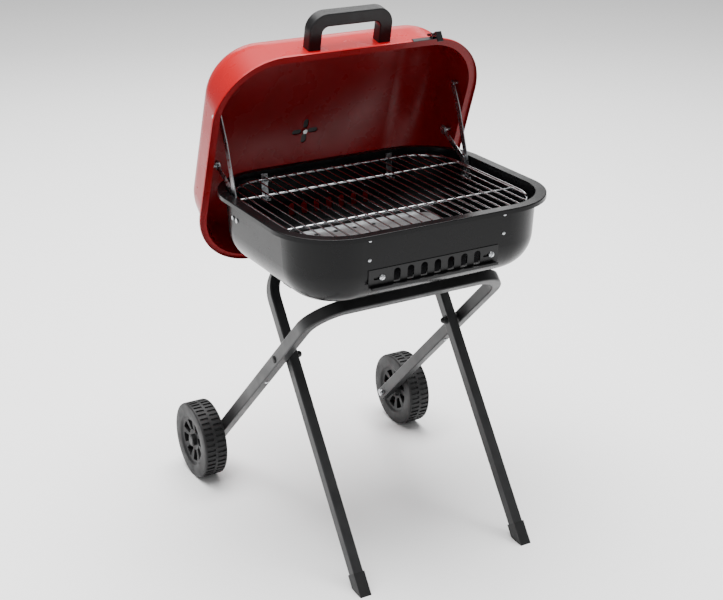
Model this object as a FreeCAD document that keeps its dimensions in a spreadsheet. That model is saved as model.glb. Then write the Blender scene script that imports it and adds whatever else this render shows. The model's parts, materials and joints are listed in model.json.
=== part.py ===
"""Folding-leg charcoal grill: lidded pressed-steel bowl on crossed tube legs with two wheels.

Frame: millimetres, +Z up, +X to the right, -Y to the front where the vent shutter is.
The origin is on the ground under the middle of the outline, between front feet and rear wheels.
Everything is drawn about the middle of the bowl and then set back by stanceShift.
"""
import FreeCAD, Part
import math
import os
import Sketcher
from FreeCAD import Placement, Rotation, Vector

os.makedirs("parts", exist_ok=True)
doc = FreeCAD.newDocument("FoldingLegGrill")

# ---------------------------------------------------------------- driving dimensions
dimensions = {
    "stanceShift": -73.844,   # bowl middle, measured from the origin along Y
    "rimHeight": 710,         # ground to the top of the bowl rim
    "rimHalfWidth": 288.5, "rimHalfDepth": 231.5, "rimMiddle": -2, "rimCorner": 126,
    "rimRearCorner": 136,      # wider, so that the lid passes the rim as it closes
    "bowlHalfWidth": 269.5, "bowlHalfDepth": 214.9, "bowlCorner": 110,
    "bowlDepth": 148, "bowlTaper": 3.3, "bowlFillet": 70,
    "sheetSteel": 1.2, "lipDrop": 9, "edgeRadius": 1.8,
    "slotPitch": 29, "slotWidth": 14.2, "slotTall": 27, "slotLevel": 618,
    "shutterWidth": 281, "shutterTall": 35, "shutterPark": 6.5, "shutterGap": 0.4, "shutterTravel": 14.5,
    "screwSpan": 237, "screwRadius": 6,
    "lidHalfWidth": 296, "lidHalfDepth": 241, "lidCorner": 136,
    "lidWallWidth": 280.2, "lidWallDepth": 228.95, "lidWallMiddle": 3.75, "lidWallCorner": 118,
    "lidHigh": 146, "lidTaper": 7.9, "lidFillet": 72, "lidLip": 6,
    "lidAngle": 69.66, "lidY": 159.07, "lidZ": 745.21,
    "ventLevel": 52, "petalReach": 30, "petalWide": 12, "damperRadius": 42,
    "handleWidth": 182, "handleTall": 73, "handleBar": 27, "handleDeep": 26,
    "handleOuter": 36, "handleInner": 14, "handleLevel": 48,
    "armPlane": 259, "armThick": 2, "armWidth": 13, "studRadius": 3.5, "runningGap": 0.05,
    "tubeWide": 21, "tubeDeep": 25, "tubeWall": 1.5, "tubeCorner": 3,
    "legAngleA": 44.52, "legAngleB": 54.1,
    "legSpanA": 647.3, "legSpanB": 665.5, "legHalfA": 223.6, "legHalfB": 196,
    "bendA": 69.5, "bendB": 72.5, "seamA": 320, "seamB": 381,
    "axleY": 333.8, "axleZ": 83, "footY": -252.2,
    "wheelRadius": 83, "wheelWide": 51.5, "wheelInner": 230.2, "axleRadius": 4,
    "grateHalfWidth": 253, "grateHalfDepth": 200, "grateCorner": 92, "grateLevel": 696,
    "grateWire": 2.6, "grateRod": 1.5, "rodPitch": 21.6,
    "plateHalfWidth": 155, "plateHalfDepth": 75, "plateLevel": 612, "plateHole": 5,
    "bracketX": 145, "bracketWide": 14, "latchX": 165, "latchSwing": 50,
}
sheet = doc.addObject("Spreadsheet::Sheet", "Dims")
for row, (alias, size) in enumerate(dimensions.items(), start=1):
    sheet.set(f"A{row}", alias)
    sheet.set(f"B{row}", str(size))
    sheet.setAlias(f"B{row}", alias)
doc.recompute()


def dim(alias):
    """Value of a driving dimension, read from the sheet."""
    return float(sheet.get(alias))


def bind(item, prop, expression):
    """Bind a property to sheet aliases, written as #alias."""
    item.setExpression(prop, expression.replace("#", "Dims."))


# ---------------------------------------------------------------- linkage of the lid, side view (y, z)
lidLean = math.radians(180 - dim("lidAngle"))
lidAxis = Vector(0, math.cos(lidLean), math.sin(lidLean))
lidInto = Vector(0, lidAxis.z, -lidAxis.y)


def lidPoint(front, deep):
    """World point (y, z) of a place on the open lid: forward of its middle, and into it."""
    place = Vector(0, dim("lidY"), dim("lidZ")) + lidAxis * front + lidInto * deep
    return (place.y, place.z)


longPivot = (83.33, 662.8)                # long arm on the bowl wall
shortPivot = (100.03, 663.84)             # short arm on the bowl wall
longPin = lidPoint(101.84, 31.82)         # long arm on the lid wall
shortPin = lidPoint(-6.76, 20.18)         # short arm on the lid wall
longKink = (129.5, 802.0)                 # where the long arm is cranked
shortElbow = (105.0, 704.0)               # where the short arm is bent

stance = Placement(Vector(0, dim("stanceShift"), 0), Rotation())
lidPlace = stance * Placement(Vector(0, dim("lidY"), dim("lidZ")),
                              Rotation(Vector(1, 0, 0), -dim("lidAngle")))
legPlaceA = stance * Placement(Vector(0, dim("axleY"), dim("axleZ")),
                               Rotation(Vector(1, 0, 0), 180 - dim("legAngleA")))
legPlaceB = stance * Placement(Vector(0, dim("footY"), 0), Rotation(Vector(1, 0, 0), dim("legAngleB")))
pieces = []


# ---------------------------------------------------------------- drawing helpers
def part(item, label, place=stance):
    """Register a finished sub-part under its node name and set it where it belongs."""
    item.Label = label
    item.Placement = place * item.Placement
    pieces.append(item)
    return item


def newBody(name):
    return doc.addObject("PartDesign::Body", name)


def newSketch(body, name, role, offset=0.0):
    """Sketch on one of the body's own origin planes, moved along that plane's normal."""
    sketch = body.newObject("Sketcher::SketchObject", name)
    plane = [item for item in body.Origin.OriginFeatures if item.Role == role][0]
    sketch.AttachmentSupport = (plane, [""])
    sketch.MapMode = "FlatFace"
    sketch.AttachmentOffset = Placement(Vector(0, 0, offset), Rotation())
    return sketch


def line(sketch, start, end):
    return sketch.addGeometry(Part.LineSegment(Vector(*start, 0), Vector(*end, 0)), False)


def arc(sketch, centre, radius, first, last):
    """Arc from angle first to angle last, in degrees, anticlockwise."""
    circle = Part.Circle(Vector(*centre, 0), Vector(0, 0, 1), radius)
    return sketch.addGeometry(Part.ArcOfCircle(circle, math.radians(first), math.radians(last)), False)


def circle(sketch, centre, radius):
    return sketch.addGeometry(Part.Circle(Vector(*centre, 0), Vector(0, 0, 1), radius), False)


def roundedRect(sketch, halfX, halfY, corner, middle=(0.0, 0.0), rear=None):
    """Closed rounded rectangle of four lines and four arcs; the two at +Y may have a radius of their own."""
    mx, my = middle
    rear = rear or corner
    dx, dy = halfX - corner, halfY - corner
    rx, ry = halfX - rear, halfY - rear
    line(sketch, (mx + halfX, my - dy), (mx + halfX, my + ry))
    arc(sketch, (mx + rx, my + ry), rear, 0, 90)
    line(sketch, (mx + rx, my + halfY), (mx - rx, my + halfY))
    arc(sketch, (mx - rx, my + ry), rear, 90, 180)
    line(sketch, (mx - halfX, my + ry), (mx - halfX, my - dy))
    arc(sketch, (mx - dx, my - dy), corner, 180, 270)
    line(sketch, (mx - dx, my - halfY), (mx + dx, my - halfY))
    arc(sketch, (mx + dx, my - dy), corner, 270, 360)


def polygon(sketch, points):
    for start, end in zip(points, points[1:] + points[:1]):
        line(sketch, start, end)


def capsule(sketch, start, end, radius):
    """Outline of a straight bar with round ends."""
    along = math.degrees(math.atan2(end[1] - start[1], end[0] - start[0]))
    nx, ny = -math.sin(math.radians(along)) * radius, math.cos(math.radians(along)) * radius
    line(sketch, (start[0] - nx, start[1] - ny), (end[0] - nx, end[1] - ny))
    arc(sketch, end, radius, along - 90, along + 90)
    line(sketch, (end[0] + nx, end[1] + ny), (start[0] + nx, start[1] + ny))
    arc(sketch, start, radius, along + 90, along + 270)


def pad(body, sketch, length, expression=None, reverse=False):
    feature = body.newObject("PartDesign::Pad", "Pad")
    feature.Profile = sketch
    feature.Length = length
    feature.Reversed = reverse
    if expression:
        bind(feature, "Length", expression)
    doc.recompute()
    return feature


def pocket(body, sketch, length=0.0, reverse=False, middle=False):
    """Cut the sketch out of the body; stops the script if nothing was cut."""
    before = body.Shape.Volume
    feature = body.newObject("PartDesign::Pocket", "Pocket")
    feature.Profile = sketch
    feature.Reversed = reverse
    feature.Midplane = middle
    feature.Length = length
    doc.recompute()
    if not body.Shape.Volume < before - 0.01:
        raise RuntimeError("pocket cut nothing in " + body.Name)
    return feature


def fillet(body, chosen, radius, expression=None):
    """Round the edges of the body that the test picks."""
    base = body.Tip
    names = [f"Edge{n}" for n, edge in enumerate(base.Shape.Edges, start=1) if chosen(edge)]
    feature = body.newObject("PartDesign::Fillet", "Fillet")
    feature.Base = (base, names)
    feature.Radius = radius
    if expression:
        bind(feature, "Radius", expression)
    doc.recompute()
    return feature


def atLevel(level):
    """Test for edges that lie wholly at one height."""
    return lambda edge: abs(edge.BoundBox.ZMin - level) < 0.01 and abs(edge.BoundBox.ZMax - level) < 0.01


def rod(name, start, end, radius, expression=None):
    """Part::Cylinder from one point to another."""
    first, last = Vector(*start), Vector(*end)
    item = doc.addObject("Part::Cylinder", name)
    item.Height = (last - first).Length
    item.Radius = radius
    if expression:
        bind(item, "Radius", expression)
    item.Placement = Placement(first, Rotation(Vector(0, 0, 1), last - first))
    return item


def block(name, low, high):
    """Part::Box between two corners."""
    item = doc.addObject("Part::Box", name)
    item.Length, item.Width, item.Height = (high[i] - low[i] for i in range(3))
    item.Placement.Base = Vector(*low)
    return item


def fuse(name, items):
    item = doc.addObject("Part::MultiFuse", name)
    item.Shapes = items
    return item


def cut(name, base, tool):
    item = doc.addObject("Part::Cut", name)
    item.Base, item.Tool = base, tool
    return item


def group(name, items):
    """Several separate solids under one node."""
    item = doc.addObject("Part::Compound", name)
    item.Links = items
    return item


# ---------------------------------------------------------------- pressed shells
def pressedShell(label, halfX, halfY, corner, middle, depth, taper, bottom, down):
    """Tapered pan of sheet steel with a filleted floor, open at z = 0, going down or up from there."""
    steel = dim("sheetSteel")
    sign = -1 if down else 1

    def pan(name, smaller, floorDepth, radius):
        body = newBody(name)
        mouth = newSketch(body, name + "Mouth", "XY_Plane")
        roundedRect(mouth, halfX - smaller, halfY - smaller, corner - smaller, (0, middle))
        solid = pad(body, mouth, floorDepth, reverse=down)
        solid.TaperAngle = -taper
        doc.recompute()
        fillet(body, atLevel(sign * floorDepth), radius)
        return body

    outer = pan(label, 0, depth, bottom)
    inner = pan(label + "_hollow", steel, depth - steel, bottom - steel)
    hollow = outer.newObject("PartDesign::Boolean", label + "Hollow")
    hollow.Type = "Cut"
    hollow.addObject(inner)
    doc.recompute()
    return outer


def flange(body, label, outer, inner, lip, down):
    """Flat flange at the mouth and the lip turned over at its edge; outer ends with the rear corner."""
    steel = dim("sheetSteel")
    ring = newSketch(body, label + "Flange", "XY_Plane")
    roundedRect(ring, *outer)
    roundedRect(ring, *inner)
    pad(body, ring, steel, "#sheetSteel", reverse=down)
    halfX, halfY, corner, middle, rear = outer
    outside = 0 if down else steel
    turned = newSketch(body, label + "Lip", "XY_Plane", outside)
    roundedRect(turned, halfX, halfY, corner, middle, rear)
    roundedRect(turned, halfX - steel, halfY - steel, corner - steel, middle, rear - steel)
    pad(body, turned, lip, reverse=True)

    def onRim(edge):
        return atLevel(outside)(edge) and widest(edge, halfX, halfY, middle)

    fillet(body, onRim, dim("edgeRadius"), "#edgeRadius")


def widest(edge, halfX, halfY, middle):
    """Whether an edge belongs to the outermost outline."""
    box = edge.BoundBox
    onSide = abs(max(abs(box.XMin), abs(box.XMax)) - halfX) < 0.02
    onEnd = max(abs(box.YMin - middle[1]), abs(box.YMax - middle[1])) > halfY - 0.02
    return onSide or onEnd


def slotRow(body, name, level):
    """Sketch of seven round-topped air slots on the XZ plane."""
    sketch = newSketch(body, name, "XZ_Plane")
    half, tall = dim("slotWidth") / 2, dim("slotTall")
    for step in range(-3, 4):
        x = step * dim("slotPitch")
        low, high = level - tall / 2, level + tall / 2 - half
        line(sketch, (x - half, low), (x + half, low))
        line(sketch, (x + half, low), (x + half, high))
        arc(sketch, (x, high), half, 0, 180)
        line(sketch, (x - half, high), (x - half, low))
    return sketch


def makeBowl():
    place = stance * Placement(Vector(0, 0, dim("rimHeight")), Rotation())
    body = pressedShell("bowl_shell", dim("bowlHalfWidth"), dim("bowlHalfDepth"), dim("bowlCorner"), 0,
                        dim("bowlDepth"), dim("bowlTaper"), dim("bowlFillet"), True)
    steel = dim("sheetSteel")
    flange(body, "bowl", (dim("rimHalfWidth"), dim("rimHalfDepth"), dim("rimCorner"), (0, dim("rimMiddle")),
                          dim("rimRearCorner")),
           (dim("bowlHalfWidth") - steel, dim("bowlHalfDepth") - steel, dim("bowlCorner") - steel),
           dim("lipDrop"), True)
    slots = slotRow(body, "bowlSlots", dim("slotLevel") - dim("rimHeight"))
    for side in (-1, 1):
        circle(slots, (side * dim("screwSpan") / 2, dim("slotLevel") - dim("rimHeight")), 2.5)
    pocket(body, slots, 2 * dim("rimHalfDepth") + 40, middle=True)
    pins = newSketch(body, "bowlPinHoles", "YZ_Plane")
    for y, z in (longPivot, shortPivot):
        circle(pins, (y, z - dim("rimHeight")), dim("studRadius"))
    pocket(body, pins, 2 * dim("rimHalfWidth") + 40, middle=True)
    part(body, "bowl_shell", place)


def wallAt(level):
    """Half depth of the bowl's outer wall at a height above the fillet."""
    return dim("bowlHalfDepth") - (dim("rimHeight") - level) * math.tan(math.radians(dim("bowlTaper")))


def sideAt(level):
    """Half width of the bowl's outer wall at a height above the fillet."""
    return dim("bowlHalfWidth") - (dim("rimHeight") - level) * math.tan(math.radians(dim("bowlTaper")))


def makeShutter(label, turn):
    """Sliding air shutter: slotted strip with a pull lip folded out along its foot."""
    body = newBody(label)
    half, tall, park = dim("shutterWidth") / 2, dim("shutterTall") / 2, -dim("shutterPark")
    steel = dim("sheetSteel")
    face = slotRow(body, label + "Face", 0)
    polygon(face, [(park - half, -tall), (park + half, -tall), (park + half, tall), (park - half, tall)])
    for side in (-1, 1):
        x = side * dim("screwSpan") / 2
        capsule(face, (x - dim("shutterTravel") - 0.5, 0), (x + 0.5, 0), 2.9)
    pad(body, face, steel, "#sheetSteel")
    lip = newSketch(body, label + "Lip", "YZ_Plane", park - half + 4)
    polygon(lip, [(0, -tall), (-10, -tall - 2), (-10, -tall + 3), (-8.8, -tall + 3),
                  (-8.8, -tall - 0.6), (-steel, -tall + 1), (0, -tall + 1)])
    pad(body, lip, 2 * half - 8)
    gap = wallAt(dim("slotLevel")) + dim("shutterGap")
    lean = Rotation(Vector(1, 0, 0), dim("bowlTaper"))
    place = Placement(Vector(0, -gap, dim("slotLevel")), lean)
    part(body, label, stance * Placement(Vector(), Rotation(Vector(0, 0, 1), turn)) * place)


def makeShutterScrews(label, front):
    """Two screws that clamp a shutter and let it slide."""
    wall = front * wallAt(dim("slotLevel"))
    screws = []
    for index, side in enumerate((-1, 1)):
        x, z = side * dim("screwSpan") / 2, dim("slotLevel")
        shank = rod(f"{label}Shank{index}", (x, wall - front * 5, z), (x, wall + front * 2.2, z), 2.5)
        head = rod(f"{label}Head{index}", (x, wall + front * 2.1, z), (x, wall + front * 3.4, z),
                   dim("screwRadius"), "#screwRadius")
        crown = rod(f"{label}Crown{index}", (x, wall + front * 3.3, z), (x, wall + front * 4.8, z), 4.6)
        screws.append(fuse(f"{label}Screw{index}", [shank, head, crown]))
    part(group(label + "Group", screws), label)


def makeGrateBracket(label, side, front):
    """Strip on the bowl wall that carries the cooking grate on its ledge."""
    body = newBody(label)
    lean, steel = math.tan(math.radians(dim("bowlTaper"))), dim("sheetSteel")
    inner = dim("bowlHalfDepth") - dim("sheetSteel") - 0.15

    def wall(level):
        return inner - (dim("rimHeight") - level) * lean

    shelf, foot, top = dim("grateLevel") - dim("grateWire") - 0.3, 650, 703
    outline = newSketch(body, label + "Side", "YZ_Plane", -dim("bracketWide") / 2)
    polygon(outline, [(wall(top), top), (wall(foot), foot), (wall(foot) - 12, foot),
                      (wall(foot) - 12, foot + 4), (wall(foot) - 10.8, foot + 4),
                      (wall(foot) - 10.8, foot + steel), (wall(foot) - steel, foot + steel),
                      (wall(shelf) - steel, shelf - steel), (wall(shelf) - 18, shelf - steel),
                      (wall(shelf) - 18, shelf), (wall(shelf) - steel, shelf), (wall(top) - steel, top)])
    pad(body, outline, dim("bracketWide"), "#bracketWide")
    turn = 180 if front else 0
    spot = Placement(Vector(side * dim("bracketX"), 0, 0), Rotation(Vector(0, 0, 1), turn))
    part(body, label, stance * spot)


def makeBracketRivets():
    """Domed rivet heads outside the wall with their shanks through the brackets."""
    rivets = []
    for side in (-1, 1):
        for front in (-1, 1):
            for level in (694, 656):
                tag = f"rivet{side + 1}{front + 1}{level}"
                y, x = front * wallAt(level), side * dim("bracketX")
                shank = rod(tag + "Shank", (x, y - front * 4, level), (x, y + front * 0.5, level), 2)
                head = rod(tag + "Head", (x, y + front * 0.1, level), (x, y + front * 1.8, level), 3.6)
                rivets.append(fuse(tag, [shank, head]))
    part(group("bracketRivetGroup", rivets), "bracket_rivets")


def makeCookingGrate():
    """Perimeter wire, two cross wires under the rods, and the row of thin rods."""
    wire, level = dim("grateWire"), dim("grateLevel")
    halfX, halfY, corner = (dim(name) - wire for name in ("grateHalfWidth", "grateHalfDepth", "grateCorner"))
    body = newBody("grate_frame")
    path = newSketch(body, "gratePath", "XY_Plane", level)
    roundedRect(path, halfX, halfY, corner)
    section = newSketch(body, "grateSection", "XZ_Plane")
    circle(section, (halfX, level), wire)
    doc.recompute()
    pipe = body.newObject("PartDesign::AdditivePipe", "gratePipe")
    pipe.Profile = section
    pipe.Spine = (path, [f"Edge{n}" for n in range(1, 9)])
    pipe.Mode = "Frenet"
    doc.recompute()
    for index, y in enumerate((-95, 104)):
        cross = newSketch(body, f"grateCross{index}", "YZ_Plane", -edgeAt(abs(y), halfX, halfY, corner))
        circle(cross, (y, level), wire - 0.4)
        pad(body, cross, 2 * edgeAt(abs(y), halfX, halfY, corner))
    part(body, "grate_frame")
    count = int((halfX - 6) / dim("rodPitch"))
    rods = []
    for step in range(-count, count + 1):
        x = step * dim("rodPitch")
        reach = edgeAt(abs(x), halfY, halfX, corner)
        top = level + wire + dim("grateRod") - 0.2
        rods.append(rod(f"grateRod{step + count}", (x, -reach, top), (x, reach, top),
                        dim("grateRod"), "#grateRod"))
    part(group("grateRods", rods), "grate_rods")


def edgeAt(place, halfAlong, halfAcross, corner):
    """Half length of a rounded rectangle's chord at a distance from its middle line."""
    over = place - (halfAcross - corner)
    if over <= 0:
        return halfAlong
    return halfAlong - corner + math.sqrt(corner ** 2 - over ** 2)


def makeCharcoalGrate():
    """Perforated steel plate that stands on its turned-down ends."""
    body = newBody("charcoal_grate")
    halfX, halfY, level = dim("plateHalfWidth"), dim("plateHalfDepth"), dim("plateLevel")
    steel = dim("sheetSteel")
    top = newSketch(body, "plateTop", "XY_Plane", level)
    roundedRect(top, halfX, halfY, 16)
    for row in (-1, 0, 1):
        for step in range(6):
            circle(top, ((step - 2.5) * 43, row * (halfY - 13)), dim("plateHole"))
    pad(body, top, steel, "#sheetSteel")
    for side in (-1, 1):
        leg = newSketch(body, f"plateLeg{side + 1}", "YZ_Plane", side * halfX - (steel if side > 0 else 0))
        low = dim("rimHeight") - dim("bowlDepth") + steel + 0.3
        polygon(leg, [(-50, low), (50, low), (56, level + 0.5), (-56, level + 0.5)])
        pad(body, leg, steel, "#sheetSteel")
        lip = newSketch(body, f"plateLip{side + 1}", "XZ_Plane", -side * halfY)
        polygon(lip, [(-halfX + 18, level), (halfX - 18, level),
                      (halfX - 18, level + 7), (-halfX + 18, level + 7)])
        pad(body, lip, steel, "#sheetSteel", reverse=side < 0)
    part(body, "charcoal_grate")


def makeUnderBowl():
    """Straps that hold the rear crossbar, rest pads for the front one, leg clips and their screws."""
    floor = dim("rimHeight") - dim("bowlDepth")
    hingeY, hingeZ = legPoint("B", dim("legSpanB"))
    frontY, frontZ = legPoint("A", dim("legSpanA"))
    radius, steel, clipFoot = 16.6, 2.0, 541
    slope = math.radians(dim("legAngleA"))
    tubeReach = dim("tubeWide") / 2 * math.sin(slope) + dim("tubeDeep") / 2 * math.cos(slope)
    for side, name in ((-1, "left"), (1, "right")):
        label = f"rear_strap_{name}"
        body = newBody(label)
        outline = newSketch(body, label + "Side", "YZ_Plane", side * 95 - 10)
        outer = radius + steel
        line(outline, (hingeY - outer, hingeZ), (hingeY - outer, floor - steel))
        line(outline, (hingeY - outer, floor - steel), (hingeY - outer - 16, floor - steel))
        line(outline, (hingeY - outer - 16, floor - steel), (hingeY - outer - 16, floor))
        line(outline, (hingeY - outer - 16, floor), (hingeY - radius, floor))
        line(outline, (hingeY - radius, floor), (hingeY - radius, hingeZ))
        arc(outline, (hingeY, hingeZ), radius, 180, 360)
        line(outline, (hingeY + radius, hingeZ), (hingeY + radius, floor - steel))
        line(outline, (hingeY + radius, floor - steel), (hingeY + outer, floor - steel))
        line(outline, (hingeY + outer, floor - steel), (hingeY + outer, hingeZ))
        arc(outline, (hingeY, hingeZ), outer, 180, 360)
        pad(body, outline, 20)
        part(body, label)
        rest = newBody(f"front_rest_{name}")
        high = frontZ + tubeReach + 0.7
        shape = newSketch(rest, f"front_rest_{name}Side", "YZ_Plane", side * 95 - 12)
        polygon(shape, [(frontY - 4, floor), (frontY - 4, high), (frontY + 14, high),
                        (frontY + 30, floor - 2), (frontY + 44, floor - 2), (frontY + 44, floor)])
        pad(rest, shape, 24)
        part(rest, f"front_rest_{name}")
        clip = newBody(f"leg_clip_{name}")
        tab = newSketch(clip, f"leg_clip_{name}Front", "XZ_Plane", 5)
        outer, inner, back = side * 199.9, side * 198.7, side * 175
        polygon(tab, [(outer, clipFoot), (outer, floor - 0.1), (back, floor - 0.1), (back, floor - 1.3),
                      (inner, floor - 1.3), (inner, clipFoot)])
        pad(clip, tab, 32, reverse=True)
        part(clip, f"leg_clip_{name}")
    screws = []
    for index, (x, y) in enumerate([(s * 95, hingeY - radius - steel - 9) for s in (-1, 1)]
                                   + [(s * 95, frontY + 37) for s in (-1, 1)]
                                   + [(s * 187, 11) for s in (-1, 1)]):
        head = rod(f"underHead{index}", (x, y, floor - 5), (x, y, floor - 2.2), 4.2)
        shank = rod(f"underShank{index}", (x, y, floor - 2.3), (x, y, floor + 3.6), 2.0)
        screws.append(fuse(f"underScrew{index}", [head, shank]))
    part(group("underScrews", screws), "bracket_screws")


def legPoint(frame, along, off=0.0):
    """World (y, z) of a place on a leg frame, measured up from its axle or foot."""
    if frame == "A":
        angle, start = 180 - dim("legAngleA"), (dim("axleY"), dim("axleZ"))
    else:
        angle, start = dim("legAngleB"), (dim("footY"), 0.0)
    c, s = math.cos(math.radians(angle)), math.sin(math.radians(angle))
    return (start[0] + along * c - off * s, start[1] + along * s + off * c)


def crossing():
    """Distances up both legs to the point where they cross."""
    a, b = math.radians(180 - dim("legAngleA")), math.radians(dim("legAngleB"))
    dy, dz = dim("footY") - dim("axleY"), -dim("axleZ")
    spread = math.sin(b - a)
    return ((dy * math.sin(b) - dz * math.cos(b)) / spread, (dy * math.sin(a) - dz * math.cos(a)) / spread)


def tubeSection(sketch, middle, wide, deep, wall, corner):
    roundedRect(sketch, wide / 2, deep / 2, corner, middle)
    roundedRect(sketch, wide / 2 - wall, deep / 2 - wall, max(corner - wall, 0.6), middle)


def makeFrame(prefix, frame, seam, buttonSide, place):
    """Bent upper tube and two straight lower tubes of one leg frame."""
    span, half, bend = dim("legSpan" + frame), dim("legHalf" + frame), dim("bend" + frame)
    wide, deep, wall, corner = dim("tubeWide"), dim("tubeDeep"), dim("tubeWall"), dim("tubeCorner")
    mid = half - wide / 2
    pivotA, pivotB = crossing()
    pivot = pivotA if frame == "A" else pivotB
    body = newBody(prefix + "_top")
    path = newSketch(body, prefix + "Path", "XY_Plane")
    line(path, (-mid, seam), (-mid, span - bend))
    arc(path, (-mid + bend, span - bend), bend, 90, 180)
    line(path, (-mid + bend, span), (mid - bend, span))
    arc(path, (mid - bend, span - bend), bend, 0, 90)
    line(path, (mid, span - bend), (mid, seam))
    section = newSketch(body, prefix + "Section", "XZ_Plane", -seam)
    tubeSection(section, (-mid, 0), wide, deep, wall, corner)
    doc.recompute()
    pipe = body.newObject("PartDesign::AdditivePipe", prefix + "Pipe")
    pipe.Profile = section
    pipe.Spine = (path, [f"Edge{n}" for n in range(1, 6)])
    doc.recompute()
    bolt = newSketch(body, prefix + "BoltHoles", "YZ_Plane")
    circle(bolt, (pivot, 0), 4.05)
    pocket(body, bolt, 2 * half + 10, middle=True)
    buttonAt = seam + 16
    hole = newSketch(body, prefix + "ButtonHoles", "XY_Plane")
    for side in (-1, 1):
        circle(hole, (side * mid, buttonAt), 4.4)
    pocket(body, hole, deep, reverse=buttonSide > 0)
    part(body, prefix + "_top", place)
    for side, name in ((-1, "left"), (1, "right")):
        label = f"{prefix}_leg_{name}"
        leg = newBody(label)
        start = -19 if frame == "A" else 12
        tube = newSketch(leg, label + "Tube", "XZ_Plane", -start)
        tubeSection(tube, (side * mid, 0), wide, deep, wall, corner)
        pad(leg, tube, seam - start, reverse=True)
        spigot = newSketch(leg, label + "Spigot", "XZ_Plane", -(seam - 8))
        tubeSection(spigot, (side * mid, 0), wide - 2 * wall - 0.2, deep - 2 * wall - 0.2, 1.2, 1.4)
        pad(leg, spigot, 48, reverse=True)
        collar = newSketch(leg, label + "Collar", "XZ_Plane", -(seam - 8))
        tubeSection(collar, (side * mid, 0), wide - 1, deep - 1, 2.3, 1.4)
        pad(leg, collar, 7, reverse=True)
        press = newSketch(leg, label + "ButtonHole", "XY_Plane")
        circle(press, (side * mid, buttonAt), 4.4)
        pocket(leg, press, deep, reverse=buttonSide > 0)
        if frame == "A":
            axle = newSketch(leg, label + "AxleHole", "YZ_Plane")
            circle(axle, (0, 0), dim("axleRadius") + 0.05)
            pocket(leg, axle, 2 * half + 10, middle=True)
        part(leg, label, place)
    springs = []
    for side, name in ((-1, "left"), (1, "right")):
        x = side * mid
        inside, outside = buttonSide * 7.0, buttonSide * (deep / 2 + 2.6)
        base = rod(f"{prefix}ButtonBase{name}", (x, buttonAt, inside),
                   (x, buttonAt, inside + buttonSide * 1.6), 5.6)
        stem = rod(f"{prefix}ButtonStem{name}", (x, buttonAt, inside), (x, buttonAt, outside), 4.1)
        tip = doc.addObject("Part::Fillet", f"{prefix}ButtonTip{name}")
        tip.Base = stem
        doc.recompute()
        edges = [n for n, e in enumerate(stem.Shape.Edges, start=1)
                 if abs(e.BoundBox.ZMin - outside) < 0.01 and abs(e.BoundBox.ZMax - outside) < 0.01]
        tip.Edges = [(n, 2.4, 2.4) for n in edges]
        part(fuse(f"{prefix}Button{name}", [base, tip]), f"{prefix}_button_{name}", place)
        low, high = sorted((buttonSide * -8.4, buttonSide * -7.6))
        foot = block(f"{prefix}SpringFoot{name}", (x - 3, buttonAt - 14, low), (x + 3, buttonAt + 14, high))
        low, high = sorted((buttonSide * -8.0, buttonSide * 2.2))
        post = block(f"{prefix}SpringPost{name}", (x - 3, buttonAt + 13.2, low),
                     (x + 3, buttonAt + 14, high))
        low, high = sorted((buttonSide * 1.4, buttonSide * 2.2))
        blade = block(f"{prefix}SpringBlade{name}", (x - 3, buttonAt - 6, low), (x + 3, buttonAt + 14, high))
        springs.append(fuse(f"{prefix}Spring{name}", [foot, post, blade]))
    part(group(prefix + "Springs", springs), prefix + "_button_springs", place)


def makeFootCaps():
    """Moulded caps over the foot ends, cut level with the ground."""
    wide, deep = dim("tubeWide") + 2.4, dim("tubeDeep") + 2.4
    mid = dim("legHalfB") - dim("tubeWide") / 2
    slope = math.tan(math.radians(90 - dim("legAngleB")))
    for side, name in ((-1, "left"), (1, "right")):
        label = f"foot_cap_{name}"
        body = newBody(label)
        outline = newSketch(body, label + "Side", "YZ_Plane", side * mid - wide / 2)
        ground = deep / 2 * slope
        polygon(outline, [(38, -deep / 2), (38, deep / 2), (-ground, deep / 2),
                          (ground * 0.35, -deep / 2 * 0.35), (ground + 3, -deep / 2 + 0.01),
                          (ground + 4, -deep / 2)])
        pad(body, outline, wide)
        socket = newSketch(body, label + "Socket", "XZ_Plane", -38)
        roundedRect(socket, dim("tubeWide") / 2, dim("tubeDeep") / 2, dim("tubeCorner"), (side * mid, 0))
        pocket(body, socket, 26, reverse=True)
        part(body, label, legPlaceB)


def makePivots():
    """Cross bolts of the leg frames with their spacers and domed nuts."""
    pivotA, _ = crossing()
    y, z = legPoint("A", pivotA)
    outA, inA = dim("legHalfA"), dim("legHalfA") - dim("tubeWide")
    outB, inB = dim("legHalfB"), dim("legHalfB") - dim("tubeWide")
    bolts, nuts, spacers = [], [], []
    for side in (-1, 1):
        tag = f"{side + 1}"
        shank = rod("pivotShank" + tag, (side * (outA + 0.5), y, z), (side * (inB - 9), y, z), 4)
        head = rod("pivotHead" + tag, (side * (outA + 0.3), y, z), (side * (outA + 3.6), y, z), 7.5)
        bolts.append(fuse("pivotBolt" + tag, [shank, head]))
        washer = rod("pivotWasher" + tag, (side * (inB - 0.1), y, z), (side * (inB - 1.8), y, z), 9)
        dome = rod("pivotDome" + tag, (side * (inB - 1.7), y, z), (side * (inB - 12), y, z), 6.8)
        nuts.append(cut("pivotNut" + tag, fuse("pivotNutBody" + tag, [washer, dome]),
                        rod("pivotNutBore" + tag, (side * inB, y, z), (side * (inB - 9.1), y, z), 4)))
        ring = rod("spacerRing" + tag, (side * (inA - 0.3), y, z), (side * (outB + 0.3), y, z), 10)
        spacers.append(cut("pivotSpacer" + tag, ring, rod("spacerBore" + tag, (side * inA, y, z),
                                                          (side * outB, y, z), 4.3)))
    part(group("pivotBolts", bolts), "pivot_bolts")
    part(group("pivotNuts", nuts), "pivot_nuts")
    part(group("pivotSpacers", spacers), "pivot_spacers")


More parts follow.
